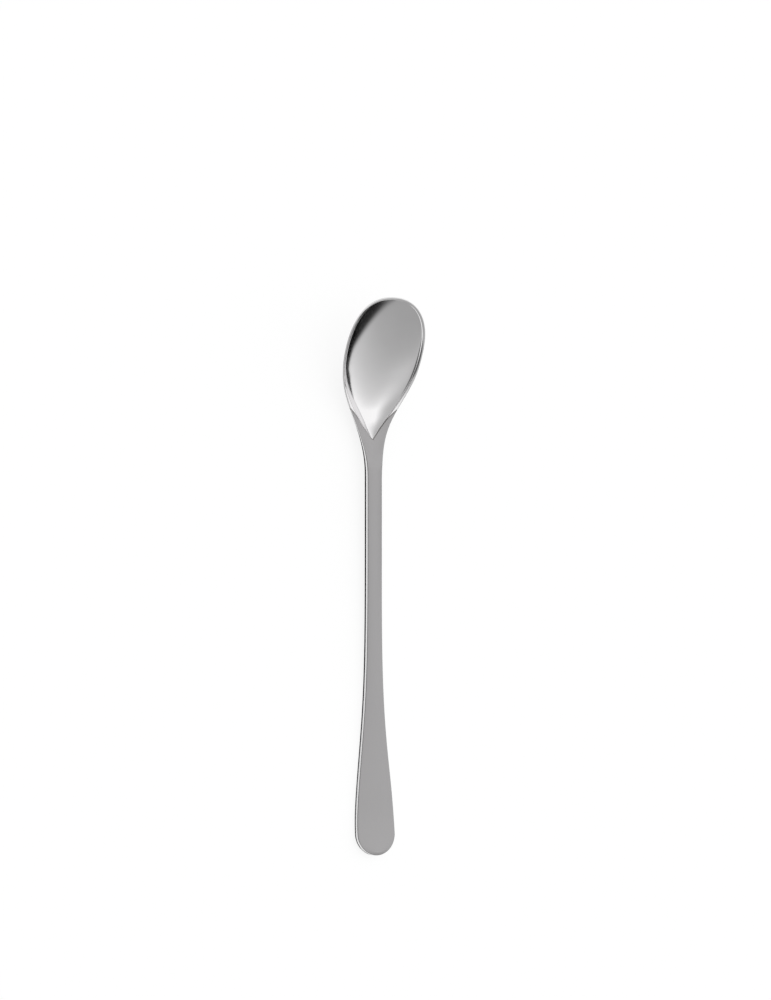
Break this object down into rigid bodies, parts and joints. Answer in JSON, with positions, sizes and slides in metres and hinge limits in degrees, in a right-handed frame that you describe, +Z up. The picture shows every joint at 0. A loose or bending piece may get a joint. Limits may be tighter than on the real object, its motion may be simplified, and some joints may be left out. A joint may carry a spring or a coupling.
{
  "type": "dessert spoon",
  "caption": "Long-handled dessert spoon with a mirror-polished bowl, a satin flared handle and a V-shaped brazed joint at the neck.",
  "frame": {"origin": "middle of the spoon's length and width, on the table it lies on", "axes": "+Y from the end of the handle to the tip of the bowl, +Z up out of the hollow, +X across"},
  "size_m": [0.0322, 0.2, 0.0207],
  "materials": {
    "polished_steel": "mirror polished stainless steel",
    "satin_steel": "fine satin face with polished round edges",
    "braze": "dull brazing metal"
  },
  "bodies": {
    "root": {"bowl": "polished_steel", "handle": "satin_steel", "braze_seam": "braze"}
  },
  "joints": []
}
